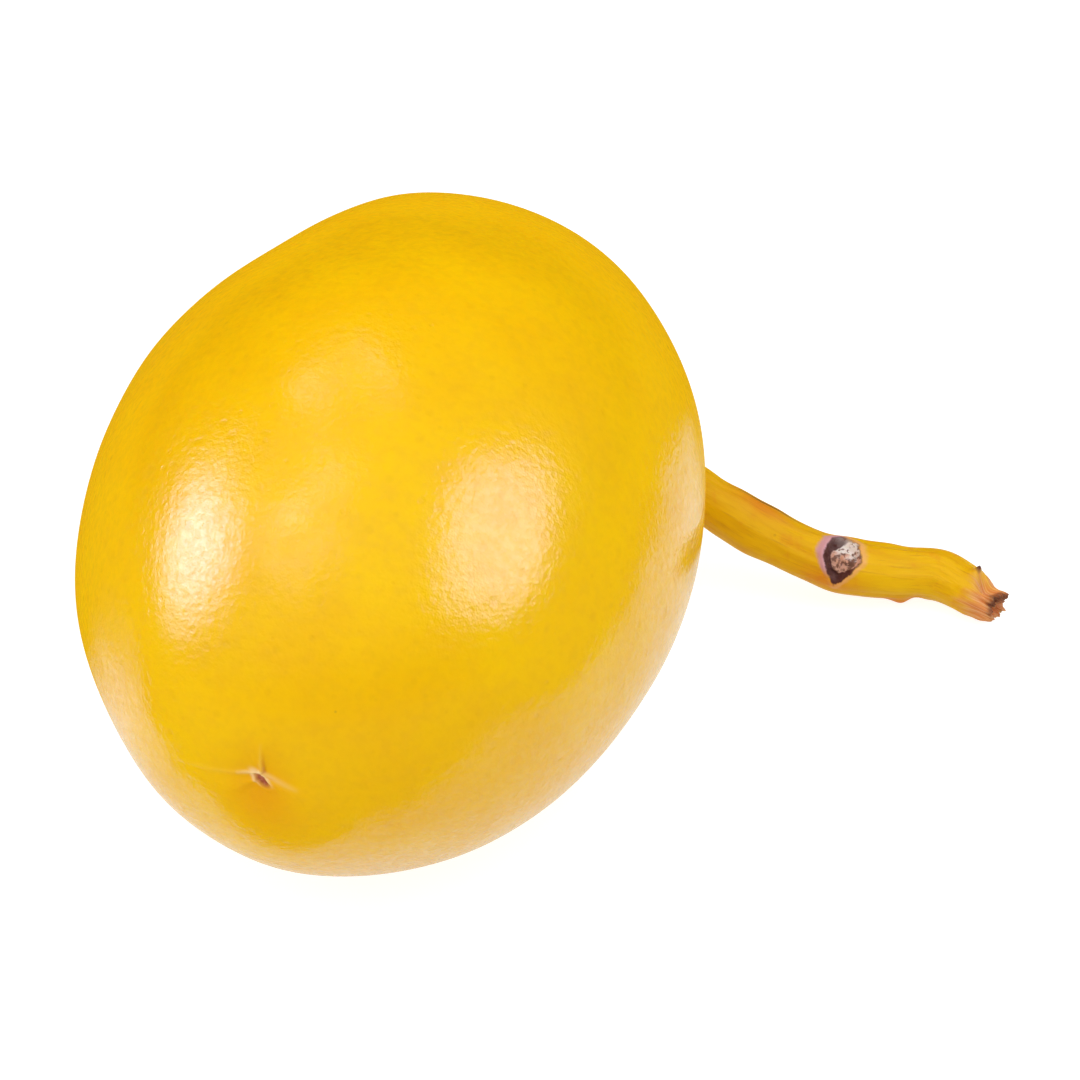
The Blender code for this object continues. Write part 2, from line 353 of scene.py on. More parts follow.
surroundings = {
    "seenInGloss": (0.01, 0.01, 0.01),  # above the horizon
    "belowInGloss": (0.80, 0.46, 0.01),  # and below it, beyond the mirrored floor
    "horizon": -0.02,  # how far down the one turns into the other, as the sine of the angle
    "distance": 450,  # of the softboxes
}
floorLook = {
    "radius": 190, "hub": 1 / 8,  # the share of the radius at the first ring of points
    "rings": 13, "columns": 96,
    "edgeFrom": 120, "edgeTo": 185,  # where the sheet fades out
    # The gloss sees only what lies within these lines: their outward direction and distance from the origin,
    # and not this way from the fruit
    "mirroredWithin": (((0.98, -0.196, 0.0), 39.5), ((0.0, -1.0, 0.0), 21.7), ((-0.5, 0.87, 0.0), 26.0)),
    "notch": {"x": -1.5, "halfWidth": 11.0, "depth": 5.2},  # a dip in the second line, before the tip
    "notMirrored": (-0.629, 0.777, 0.0), "fadeFrom": 0.20, "fadeTo": 0.58,  # as cosines from that way
    "softness": 1.7,  # of the lines' edges
    "wobble": {"scale": 0.09, "reach": 1.5, "sideways": 0.05},
    "colour": (0.46, 0.46, 0.458), "roughness": 0.9,
    "tooth": 1.02,  # how much brighter the paper's fine patches are
    "glow": 0.53,  # lit from below, as a light table is
    # Brighter in the gloss round these places: where, how far out, and by how much
    "brightAt": (((27.0, 25.0, 0.0), 15.0, 0.35), ((-26.0, -14.0, 0.0), 16.0, 0.5)),
    "glowSeen": 0.84,  # the same glow as the camera sees it
    "glowOnMatt": 0.38,  # and as matt colours get it
}


def direction(azimuth, elevation):
    azimuth, elevation = np.radians(azimuth), np.radians(elevation)
    level = np.cos(elevation)
    return Vector((np.sin(azimuth) * level, -np.cos(azimuth) * level, np.sin(elevation)))


def makeSoftboxes():
    for name, box in softboxes.items():
        light = bpy.data.lights.new(name, "AREA")
        light.shape = "ELLIPSE"
        light.size, light.size_y = (side * mm for side in box["size"])
        light.energy = box["watts"]
        light.use_nodes = True
        tree = light.node_tree
        onBox = addNode(tree, "NewGeometry").outputs["Parametric"]  # 0 to 1 across it both ways
        fromMiddle = times(tree, measured(tree, onBox, "DISTANCE", (0.5, 0.5, 0.0)), 2.0)
        glow = stretched(tree, fromMiddle, *box["glow"], 1.0, 0.0)
        if "patches" in box:
            counts = [side / box["patches"] for side in box["size"]] + [1.0]
            inPatches = addNode(tree, "VectorMath", {0: onBox, 1: counts}, operation="MULTIPLY").outputs[0]
            cloud = noise(tree, inPatches, 1.0, panelPatches["detail"], panelPatches["roughness"])
            glow = times(tree, glow, stretched(tree, cloud, panelPatches["darkBelow"], panelPatches["fullAbove"]))
        tree.links.new(glow, tree.nodes["Emission"].inputs["Strength"])
        lamp = placed(name, light)
        lamp.visible_diffuse = False
        lamp.matrix_world = aimed(
            (fruitMiddle + direction(*box["from"]) * surroundings["distance"]) * mm, fruitMiddle * mm,
            -np.radians(box["roll"]),
        )


def makeSurroundings():
    # White for the camera, soft glows on a dome for matt surfaces, and for the gloss dark above the horizon and
    # warm below it. Each glow is its strength times a power of the cosine between the ray and its direction
    world = bpy.data.worlds.new("studio")
    scene.world = world
    world.use_nodes = True
    tree = world.node_tree
    rays = addNode(tree, "LightPath").outputs
    toward = addNode(tree, "TexCoord").outputs["Generated"]
    dome = (0.0, 0.0, 0.0)
    for name, glow in domeGlows.items():
        facing = worked(tree, "MAXIMUM", measured(tree, toward, "DOT_PRODUCT", direction(*glow["from"])), 0.0)
        lobe = worked(tree, "POWER", facing, glow["sharpness"])
        tint = tuple(glow["strength"] * channel for channel in glow.get("tint", (1.0, 1.0, 1.0)))
        dome = addNode(tree, "VectorMath", {0: lobe, 1: tint, 2: dome}, operation="MULTIPLY_ADD").outputs[0]
    below = stretched(tree, splitUp(tree, toward)[2], 0.0, surroundings["horizon"])
    inGloss = mixed(tree, below, surroundings["seenInGloss"], surroundings["belowInGloss"])
    colour = mixed(tree, rays["Is Glossy Ray"], dome, inGloss)
    colour = mixed(tree, rays["Is Camera Ray"], colour, (1.0, 1.0, 1.0))
    tree.links.new(colour, tree.nodes["Background"].inputs["Color"])
    world.cycles.sampling_method = "NONE"  # only rays that reach it see it, so the gloss keeps its own


def makePaper():
    look = floorLook
    material, tree, shader, inMm = newMaterial(
        "palePaper", Specular_IOR_Level=0.0, Roughness=look["roughness"], Emission_Color=(1, 1, 1, 1),
    )
    rays = addNode(tree, "LightPath").outputs
    # Its glow: one for matt colours, one for the camera, and one for the gloss, brighter in places
    inGloss = look["glow"]
    for place, far, more in look["brightAt"]:
        away = measured(tree, inMm, "DISTANCE", place)
        inGloss = worked(tree, "ADD", stretched(tree, away, 0.0, far, more, 0.0), inGloss)
    glow = addNode(tree, "Mix", {0: rays["Is Diffuse Ray"], 2: inGloss, 3: look["glowOnMatt"]}).outputs[0]
    glow = addNode(tree, "Mix", {0: rays["Is Camera Ray"], 2: glow, 3: look["glowSeen"]}).outputs[0]
    tree.links.new(glow, shader.inputs["Emission Strength"])
    tooth = useGroup(tree, blotches, Place=inMm, Size=0.7, From=0.3, To=0.7)
    paler = tuple(value * look["tooth"] for value in look["colour"])
    tree.links.new(mixed(tree, tooth, look["colour"], paler), shader.inputs["Base Color"])
    # Where it is gone: for the gloss beyond the lines and to one side, for all else towards its edge
    wobble = noise(tree, inMm, look["wobble"]["scale"], 1.0)
    wobble = stretched(tree, wobble, 0.3, 0.7, -look["wobble"]["reach"], look["wobble"]["reach"])
    heading = addNode(tree, "VectorMath", {0: inMm}, operation="NORMALIZE").outputs[0]
    sideways = measured(tree, heading, "DOT_PRODUCT", look["notMirrored"])
    sideways = added(tree, sideways, wobble, look["wobble"]["sideways"])
    hidden = stretched(tree, sideways, look["fadeFrom"], look["fadeTo"])
    notch = look["notch"]
    fromNotch = worked(tree, "ABSOLUTE", worked(tree, "SUBTRACT", splitUp(tree, inMm)[0], notch["x"]))
    dips = [0.0, stretched(tree, fromNotch, 0.0, notch["halfWidth"], notch["depth"], 0.0), 0.0]
    for (outward, limit), dip in zip(look["mirroredWithin"], dips):
        reach = worked(tree, "ADD", measured(tree, inMm, "DOT_PRODUCT", outward), worked(tree, "ADD", wobble, dip))
        beyond = stretched(tree, reach, limit - look["softness"], limit + look["softness"])
        hidden = worked(tree, "MAXIMUM", hidden, beyond)
    outside = stretched(tree, measured(tree, inMm, "LENGTH"), look["edgeFrom"], look["edgeTo"])
    fade = addNode(tree, "Mix", {0: rays["Is Glossy Ray"], 2: outside, 3: hidden}).outputs[0]
    clear = addNode(tree, "BsdfTransparent").outputs[0]
    blend = addNode(tree, "MixShader", {0: fade, 1: shader.outputs[0], 2: clear})
    tree.links.new(blend.outputs[0], tree.nodes["Material Output"].inputs["Surface"])
    return material


def makeFloor(material):
    # A round sheet of paper as rings of points, with radii that grow as a cube
    reach = np.linspace(floorLook["hub"] ** (1 / 3), 1, floorLook["rings"])[:, None] ** 3 * floorLook["radius"]
    angle = allRound(floorLook["columns"])
    rings = joined(reach * np.cos(angle), reach * np.sin(angle), 0.0)
    ids, _, quads = ringQuads(*rings.shape[:2])
    mesh = bpy.data.meshes.new("paperFloor")
    mesh.from_pydata((rings.reshape(-1, 3) * mm).tolist(), [], [ids[0].tolist(), *quads[:, ::-1].tolist()])
    mesh.materials.append(material)
    sheet = placed("paperFloor", mesh)


makeSoftboxes()
makeSurroundings()
makeFloor(makePaper())
print("light and floor are set")


# The fruit

fruitShape = {
    "length": 37.0,
    "diameter": 27.2,
    "fullerAtTip": 0.025,
    "ovalSection": 0.008,
    "lobedSection": 0.005,
    "columns": 344,
    # The step between rings at the tip, what the flanks add to it and what the stem end takes off again, and
    # how far along the skin each change lasts
    "tipStep": 0.05, "flankStep": 0.165, "stemStep": 0.05, "flankFrom": 1.2, "flankTo": 6.5, "stemStretch": 8,
    "lumps": ((6.0, 0.022, 3), (11.0, 0.045, 4)),  # size and height of soft lumps, and their seed
    "flatSpot": {"at": (-9.3, 7.3, 21.9), "width": 4.0, "depth": 0.55},  # where it was pressed as it grew
    "tipCentre": (0.5, 0.0),  # the scar sits beside the axis: x and height from it
    "tipShift": (-0.3, -0.12),  # moves all that lies at the tip, in the same two directions
    "dimple": (1.5, 0.24),  # radius and depth
    "broadRidges": (2.4, 0.10, 3, 28),  # reach, height, number, and degrees round to the first
    "tipFrom": 10, "tipTo": 14,  # how far along the axis the tip's relief sets in
    # The orange tint under the scar is partly the fruit's own tone and partly painted shade of the hollow
    "orangeAt": (0.45, -0.95, 1.5, 0.75),  # a tint by the scar: x, height, reach and how much heights count
    "seat": (4.6, 0.75),  # radius and depth of the dish under the petals
}
# The crests' paleness is a pale tint that is partly painted highlight
tipRidges = (  # fine crests that run out of the scar: start, end, half width, height and paleness
    ((0.40, 0.30), (-0.62, 0.08), 0.11, 0.075, 1.0),
    ((-0.62, 0.08), (-3.60, -0.38), 0.13, 0.030, 0.06),
    ((0.62, 0.18), (2.05, -0.42), 0.14, 0.060, 0.4),
    ((0.47, 0.30), (0.47, 1.90), 0.09, 0.040, 0.12),
)
tipScar = {
    "centre": (0.50, -0.20), "heading": (0.67, -0.74), "halfLength": 0.46, "halfWidth": 0.19,
    "depth": 0.07, "lip": 0.05, "paleLip": 0.8,
    # Where its floor ends, and where its lip and the lip's pale tint lie and how broad they are, as shares of
    # its half sizes; the pale tint, partly painted highlight on the upper lip, fades out downwards between two
    # heights
    "floorTo": (0.45, 1.35), "lipAt": (1.25, 0.4), "paleAt": (1.35, 0.45), "paleAbove": (-0.7, 0.1),
}
# A fine crease up from the scar; the skin paints shade into it
tipCrease = {"from": (0.62, 0.30), "to": (0.58, 1.70), "width": 0.075, "depth": 0.045}


def fruitPoint(polar, around):
    # A long oval: the radius is the sine and the place along Y the cosine of polar, from the tip at 0 to
    # the stem end at pi; the section is slightly oval and lobed; the stem end is dished
    shape = fruitShape
    section = 1 + shape["ovalSection"] * np.cos(2 * around - 1.2) + shape["lobedSection"] * np.cos(3 * around + 1.2)
    radius = shape["diameter"] / 2 * np.sin(polar) * (1 + shape["fullerAtTip"] * np.cos(polar)) * section
    along = -shape["length"] / 2 * np.cos(polar)
    seatRadius, seatDepth = shape["seat"]
    along = along - seatDepth * np.exp(-((radius / seatRadius) ** 4)) * (polar > np.pi / 2)
    return joined(radius * np.cos(around), along, fruitMiddle.z - radius * np.sin(around))


def fruitOutward(polar, around):
    # The oval's outward direction: at right angles to a small step round it and one along it
    here, small = fruitPoint(polar, around), 1e-3
    return unit(np.cross(fruitPoint(polar, around + small) - here, fruitPoint(polar + small, around) - here))


def tipRelief(x, z):
    # Height at the tip: a dimple with three broad ridges, and on them fine crests, a crease and the scar.
    # Also gives how much of the pale crest (partly painted highlight), dark scar, painted shade in the crease and
    # orange tint (partly painted shade) lies at each point
    x, z = x - fruitShape["tipShift"][0], z - fruitShape["tipShift"][1]
    centreX, centreZ = fruitShape["tipCentre"]
    out = np.hypot(x - centreX, z - centreZ)
    around = np.arctan2(-(z - centreZ), x - centreX)
    dimpleRadius, dimpleDepth = fruitShape["dimple"]
    reach, rise, number, first = fruitShape["broadRidges"]
    broad = np.maximum(0, np.cos(number * (around - np.radians(first)))) ** 3 * np.clip(out / 0.4, 0, 1)
    height = rise * broad * bell(out, reach) - dimpleDepth * bell(out, dimpleRadius)
    pale = np.zeros_like(x)
    # Raised crests, painted pale: partly pale tissue, partly painted highlight
    for start, end, width, tall, paleness in tipRidges:
        away, along = offLine(x, z, start, end)
        crest = bell(away, width) * (1 - 0.75 * along)
        height += tall * crest
        pale = np.maximum(pale, paleness * crest)
    # The crease: sunk, and its mask also paints shade into it
    away, along = offLine(x, z, tipCrease["from"], tipCrease["to"])
    shadedCrease = bell(away, tipCrease["width"]) * (1 - along)
    height -= tipCrease["depth"] * shadedCrease
    headX, headZ = tipScar["heading"]
    dx, dz = x - tipScar["centre"][0], z - tipScar["centre"][1]
    long, wide = dx * headX + dz * headZ, dx * headZ - dz * headX
    spot = np.hypot(long / tipScar["halfLength"], wide / tipScar["halfWidth"])
    scar = 1 - ramp(spot, *tipScar["floorTo"])
    (lipAt, lipWidth), (paleAt, paleWidth) = tipScar["lipAt"], tipScar["paleAt"]
    height += tipScar["lip"] * bell(spot - lipAt, lipWidth) - tipScar["depth"] * scar
    # The pale tint on the scar's upper lip is partly painted highlight
    pale = np.maximum(pale, tipScar["paleLip"] * bell(spot - paleAt, paleWidth) * ramp(z, *tipScar["paleAbove"]))
    # The orange tint under the scar: partly the fruit's own tone, partly painted shade of the hollow
    orangeX, orangeZ, orangeReach, upright = fruitShape["orangeAt"]
    orange = bell(np.hypot(x - orangeX, (z - orangeZ) * upright), orangeReach)
    return height, {"paleCrestAndHighlight": pale, "darkScar": scar, "shadedCrease": shadedCrease, "tipShadeAndOrange": orange}


def fruitRows():
    # Places of the rings between tip and stem end: close together at the scar, wider along the flanks
    shape = fruitShape
    polar = np.linspace(0, np.pi, 6001)  # fine steps, to measure along the skin
    half, radius = shape["length"] / 2, shape["diameter"] / 2
    step = np.hypot(half * np.sin(polar), radius * np.cos(polar)) * (polar[1] - polar[0])
    out = np.cumsum(step)
    spacing = shape["tipStep"] + shape["flankStep"] * ramp(out, shape["flankFrom"], shape["flankTo"])
    spacing -= shape["stemStep"] * ramp(out, out[-1] - shape["stemStretch"], out[-1])
    count = np.cumsum(step / spacing)
    wanted = np.arange(1, int(count[-1]))
    return np.interp(wanted, count, polar)


def makeFruit(material):
    polar = fruitRows()[:, None]
    around = allRound(fruitShape["columns"])
    rings = fruitPoint(polar, around)
    poles = np.array([fruitPoint(0.0, 0.0), fruitPoint(np.pi, 0.0)])
    x, z = rings[..., 0], rings[..., 2] - fruitMiddle.z
    atTip = ramp(-rings[..., 1], fruitShape["tipFrom"], fruitShape["tipTo"])
    relief, marks = tipRelief(x, z)
    height = relief * atTip
    for size, tall, seed in fruitShape["lumps"]:
        height += tall * lumps(rings, size, seed)
    flat = fruitShape["flatSpot"]
    height -= flat["depth"] * bell(np.linalg.norm(rings - flat["at"], axis=-1), flat["width"])
    rings = rings + fruitOutward(polar, around) * height[..., None]
    poles[:, 1] += (-height[0].mean(), height[-1].mean())
    rings[..., 2] = np.maximum(rings[..., 2], 0)
    marks = {label: value * atTip for label, value in marks.items()}
    shell = {"rings": rings, "first": poles[0], "last": poles[1], "marks": marks}
    addPiece("fruitSkin", [shell], material, "fruit")


skinLook = {
    "lemon": (0.955, 0.578, 0.002),
    "amber": (0.865, 0.435, 0.001),
    "pore": (0.66, 0.33, 0.004),
    # an orange that is partly the tip's own tone and partly painted shade under the scar
    "tipShadedOrange": (0.86, 0.375, 0.003),
    # a pale tint for the crests and the scar's lip, partly painted highlight
    "crest": (1.0, 0.76, 0.46),
    "scar": (0.40, 0.085, 0.03),
    "scarLilac": (0.50, 0.15, 0.085),
    # a darker orange that is painted shade in the crease
    "shadedCrease": (0.66, 0.24, 0.004),
    "freckle": (0.36, 0.16, 0.02),
    "amberInWide": 0.32, "amberInMiddling": 0.16,  # how much amber the patches of each size carry
    "pebbles": 2.7, "streaks": (1.6, 0.16, 1.6),  # of them on a millimetre
    "poresOnHeight": 0.25, "streaksOnHeight": 0.45, "bump": 0.031,
    "roughness": 0.13, "mottleRough": 0.04, "patchRough": 0.03, "scarRough": 0.3,
    "waxGloss": 0.34,  # the grains of wax that mirror more
}


def makeSkin():
    material, tree, shader, inMm = newMaterial(
        "waxySkin", IOR=1.45, Specular_Tint=(0.6, 0.5, 0.95, 1.0),
        Subsurface_Weight=0.18, Subsurface_Radius=(1.0, 0.45, 0.06), Subsurface_Scale=0.0016,
        Coat_Roughness=0.13, Coat_IOR=1.45,
    )
    look = skinLook
    wide = useGroup(tree, blotches, Place=inMm, Size=13.0, From=0.35, To=0.68)
    middling = useGroup(tree, blotches, Place=inMm, Size=3.2, From=0.3, To=0.75, Detail=4.0)
    mottle = useGroup(tree, blotches, Place=inMm, Size=0.55, From=0.38, To=0.7, Detail=2.0)
    pores = useGroup(tree, specks, Place=inMm, Spacing=0.75, Size=0.3, Share=0.55)
    freckles = useGroup(tree, specks, Place=inMm, Spacing=3.1, Size=0.035, Share=0.16)
    amberShare = added(tree, times(tree, wide, look["amberInWide"]), middling, look["amberInMiddling"])
    colour = mixed(tree, amberShare, look["lemon"], look["amber"])
    scarPatches = useGroup(tree, blotches, Place=inMm, Size=0.25, From=0.42, To=0.58)
    scarColour = mixed(tree, scarPatches, look["scar"], look["scarLilac"])
    # At the tip: painted shade in the crease, pale crests that are partly painted highlight, and an orange tint
    # that is partly painted shade
    colour = tinted(
        tree, look, colour, (mottle, 0.10, "pore"), (pores, 0.12, "pore"), (freckles, 0.35, "freckle"),
        ("tipShadeAndOrange", 0.85, "tipShadedOrange"), ("shadedCrease", 0.75, "shadedCrease"), ("paleCrestAndHighlight", 0.8, "crest"),
        ("darkScar", 0.95, scarColour),
    )
    lengthwise = addNode(tree, "Mapping", {"Vector": inMm, "Scale": look["streaks"]}).outputs[0]
    streaks = noise(tree, lengthwise, 1.0, 3.0)
    height = added(tree, noise(tree, inMm, look["pebbles"], 2.0, 0.6), streaks, look["streaksOnHeight"])
    height = added(tree, height, pores, -look["poresOnHeight"])
    roughness = added(tree, look["roughness"], mottle, look["mottleRough"])
    roughness = added(tree, roughness, middling, look["patchRough"])
    roughness = added(tree, roughness, attribute(tree, "darkScar"), look["scarRough"])
    wax = useGroup(tree, blotches, Place=inMm, Size=0.36, From=0.42, To=0.64, Detail=1.0)
    tree.links.new(times(tree, wax, look["waxGloss"]), shader.inputs["Coat Weight"])
    finishMaterial(tree, shader, colour, roughness, height, look["bump"])
    return material


makeFruit(makeSkin())
print("fruit is done")


# The strand

strandShape = {
    "route": np.array((  # the middle line and radius, from the stub behind the fruit to the broken end
        (-1.9, 22.00, 13.80, 1.14), (0.0, 22.00, 13.20, 1.28), (1.7, 21.50, 10.40, 1.18),
        (3.9, 19.95, 6.75, 1.08), (6.4, 18.45, 5.05, 1.06), (9.2, 17.50, 4.30, 1.14),
        (11.4, 17.35, 3.30, 1.30), (14.0, 17.20, 2.50, 1.18), (16.2, 17.40, 2.00, 1.31),
        (18.3, 18.03, 1.62, 1.26), (20.45, 18.76, 1.42, 1.19), (22.3, 18.25, 1.24, 1.05),
        (23.6, 17.86, 0.98, 0.70),
    )),
    "ringStep": 0.09,
    "columns": 96,
    "capRings": 9, "capRough": 0.13,
    "stubHollow": 0.10, "endHollow": 0.22,  # how far the broken ends are sunk
    "ovalSection": 0.035,
    # How jagged the broken ends are round their rims, as waves: height, number and start
    "stubJags": ((0.05, 5, 1), (0.04, 13, 0)),
    "endJags": ((0.16, 3, 0.6), (0.08, 11, 2), (0.05, 23, 0)),
}
strandScar = {
    "along": 23.54, "around": 50, "width": 0.81, "length": 1.24, "taper": 0.6, "depth": 0.3, "rim": 0.13,
    "pitTo": (0.72, 0.98), "rimAt": (1.12, 0.2),  # as shares of its half sizes
    "knob": (0.22, 0.1, 0.34, 0.2),  # inside it: along and round from its middle, reach and height
}
# Bumps and dents on the strand: along it and round it, their half sizes both ways, and their height
strandBumps = {
    "lowerBump": (26.55, 308, 0.42, 0.40, 0.24),
    "lowerNotch": (27.30, 318, 0.40, 0.45, -0.14),
    "spur": (30.12, 108, 0.16, 0.22, 0.34),
    "spurFoot": (30.05, 100, 0.35, 0.5, 0.16),
    "endNotch": (30.80, 94, 0.38, 0.62, -0.58),
    "endLip": (31.50, 84, 0.22, 0.42, 0.16),
    "endToe": (31.25, 318, 0.35, 0.35, 0.16),
    "upperSeam": (19.30, 121, 1.6, 0.10, -0.045),
    "oldScarRim": (8.10, 200, 0.75, 0.7, 0.14),
    "oldScarPit": (8.10, 200, 0.42, 0.42, -0.26),
}
# Soft patches of tint on it, placed in the same way
strandTints = {
    "seamGlow": (18.9, 100, 1.5, 0.55),
    "redBump": (26.4, 308, 0.9, 0.5),
    "underScar": (23.2, 352, 1.2, 0.6),
}
strandGrain = {  # its fine relief: height, size, how much lengths count, seed and number of waves
    "fibre": (0.016, 0.42, 0.07, 11, 40),
    "knobs": (0.028, 2.4, 1, 12, 24),
    "inScar": (0.03, 0.25, 1, 13, 24),
    "torn": (0.05, 0.45, 0.2, 14, 40),
}


def strandLine():
    # The route's smooth middle line, a Bezier curve between each two knots with their neighbours' slope,
    # sampled evenly; the radius eases from knot to knot along a cosine
    route = strandShape["route"]
    knots, radii = route[:, :3], route[:, 3]
    before = np.vstack([2 * knots[0] - knots[1], knots[:-1]])
    after = np.vstack([knots[1:], 2 * knots[-1] - knots[-2]])
    pull = (after - before) / 6
    share = np.linspace(0, 1, 60, endpoint=False)[None, :, None]
    a, b = knots[:-1, None], (knots + pull)[:-1, None]
    c, d = (knots - pull)[1:, None], knots[1:, None]
    line = (1 - share) ** 3 * a + 3 * (1 - share) ** 2 * share * b + 3 * (1 - share) * share**2 * c + share**3 * d
    size = radii[:-1, None] + np.diff(radii)[:, None] * (1 - np.cos(np.pi * share[..., 0])) / 2
    line = np.vstack([line.reshape(-1, 3), knots[-1]])
    size = np.append(size.ravel(), radii[-1])
    gone = np.append(0, np.cumsum(np.linalg.norm(np.diff(line, axis=0), axis=1)))
    along = np.linspace(0, gone[-1], int(gone[-1] / strandShape["ringStep"]))
    middle = np.stack([np.interp(along, gone, line[:, axis]) for axis in range(3)], -1)
    return along, middle, np.interp(along, gone, size)


def strandRelief(along, angle, radius):
    # Height over the round strand, and the marks for its material. Places on it are the length along it
    # and the arc round it, both in mm, measured from each feature
    def arc(degrees):
        return radius * ((angle - np.radians(degrees) + np.pi) % turn - np.pi)

    def patch(at, degrees, wide, high):
        return bell(np.hypot((along - at) / wide, arc(degrees) / high), 1.0)

    def grain(name):
        tall, size, lengthwise, seed, count = strandGrain[name]
        return tall * lumps(column * (1, 1, lengthwise), size, seed, count)

    bumps = {name: patch(*values[:4]) for name, values in strandBumps.items()}
    height = sum(strandBumps[name][4] * bump for name, bump in bumps.items())
    scar = strandScar
    x, y = along - scar["along"], arc(scar["around"])
    high = np.clip(y / scar["length"], -1, 1)
    width = scar["width"] * (1 + np.where(high < 0, scar["taper"], 0.1) * high)
    spot = np.hypot(x / width, y / scar["length"])
    pit = 1 - ramp(spot, *scar["pitTo"])
    rimAt, rimWidth = scar["rimAt"]
    rim = bell(spot - rimAt, rimWidth) * (0.6 + 0.4 * ramp(-x, -0.2, 0.6))  # higher towards the stub
    height += scar["rim"] * rim - scar["depth"] * pit
    knobX, knobY, knobReach, knobRise = scar["knob"]
    height += knobRise * bell(np.hypot(x - knobX, y - knobY), knobReach)
    column = joined(np.cos(angle) * 1.2, np.sin(angle) * 1.2, along)
    fromEnd = along.max() - along
    torn = ramp(fromEnd, 2.6, 0.2)
    height += grain("fibre") + grain("knobs") + pit * grain("inScar") + torn * grain("torn")
    marks = {
        "grain": column,
        "scarSpot": joined(x, y, spot),
        "torn": torn + 0 * angle,
        "stub": ramp(along, 1.3, 0.1) + 0 * angle,
        "spurTip": ramp(bumps["spur"], 0.35, 0.85),
        "endEdge": np.maximum(bumps["endLip"], bell(fromEnd, 0.16) * ramp(np.sin(angle), -0.6, 0.6)),
        "upperSeam": bumps["upperSeam"],
        "oldScar": ramp(bumps["oldScarPit"], 0.25, 0.8),
        "oldScarRim": bumps["oldScarRim"],
        **{name: patch(*values) for name, values in strandTints.items()},
    }
    return height, marks


def strandCap(ring, middle, outward, hollow, seed):
    # Rings inside a broken end: the edge drawn in to the middle, sunk by the hollow and rough with fibres
    share = np.linspace(0.9, 0.06, strandShape["capRings"])[:, None, None]
    inward = middle + (ring - middle) * share
    rough = strandShape["capRough"] * lumps(inward, 0.33, seed, 40) * ramp(share[..., 0], 1.0, 0.8)
    sunk = -hollow * ramp(1 - share[..., 0], 0.0, 0.75) + rough
    return inward + outward * sunk[..., None], middle - outward * (hollow * 0.8)


def makeStrand(material):
    along, middle, size = strandLine()
    ahead = unit(np.gradient(middle, axis=0))
    side = unit(np.cross(ahead, (0, 0, 1)))
    top = np.cross(side, ahead)
    angle = allRound(strandShape["columns"])
    radius = size[:, None] * (1 + strandShape["ovalSection"] * np.cos(2 * angle + 0.8))
    height, marks = strandRelief(along[:, None], angle, radius)
    outward = side[:, None] * np.cos(angle)[..., None] + top[:, None] * np.sin(angle)[..., None]
    rings = middle[:, None] + outward * (radius + height)[..., None]
    fromEnd = (along[-1] - along)[:, None]
    jags = waves(angle, strandShape["endJags"]) * bell(fromEnd, 0.8)
    jags = jags - waves(angle, strandShape["stubJags"]) * bell(along[:, None], 0.5)
    rings += ahead[:, None] * jags[..., None]
    stubCap, stubMiddle = strandCap(rings[0], rings[0].mean(0), -ahead[0], strandShape["stubHollow"], 21)
    endCap, endMiddle = strandCap(rings[-1], rings[-1].mean(0), ahead[-1], strandShape["endHollow"], 22)
    rings = np.concatenate([stubCap[::-1], rings, endCap])
    row = np.arange(len(rings)) - strandShape["capRings"]
    nearest = np.clip(row, 0, len(along) - 1)  # inside a broken end, the marks of its edge
    marks = {label: value[nearest] for label, value in marks.items()}
    marks["broken"] = (row != nearest)[:, None] + 0.0 * angle
    rings[..., 2] = np.maximum(rings[..., 2], 0.0)
    shell = {"rings": rings, "first": stubMiddle, "last": endMiddle, "marks": marks}
    addPiece("strandBark", [shell], material, "strand")


barkLook = {
    "yellow": (0.84, 0.495, 0.001),
    "deep": (0.71, 0.365, 0.001),
    "streak": (0.42, 0.15, 0.006),
    "orange": (0.74, 0.20, 0.012),
    "lilac": (0.66, 0.36, 0.42),
    "halo": (0.86, 0.44, 0.17),
    "dark": (0.075, 0.022, 0.02),
    "paleInside": (0.84, 0.77, 0.74),
    "pinkInside": (0.66, 0.36, 0.27),
    "brownInside": (0.22, 0.11, 0.08),
    "tornFibre": (0.68, 0.22, 0.075),
    "tornPale": (0.80, 0.42, 0.20),
    "edge": (0.12, 0.04, 0.025),
    "lineStart": 0.92, "lineGrows": 0.36,  # where the scar's dark line starts, and how far in it can reach
    "fineOnHeight": 0.45, "bump": 0.05, "roughness": 0.34, "fibreRough": 0.22, "tornRough": 0.2,
}


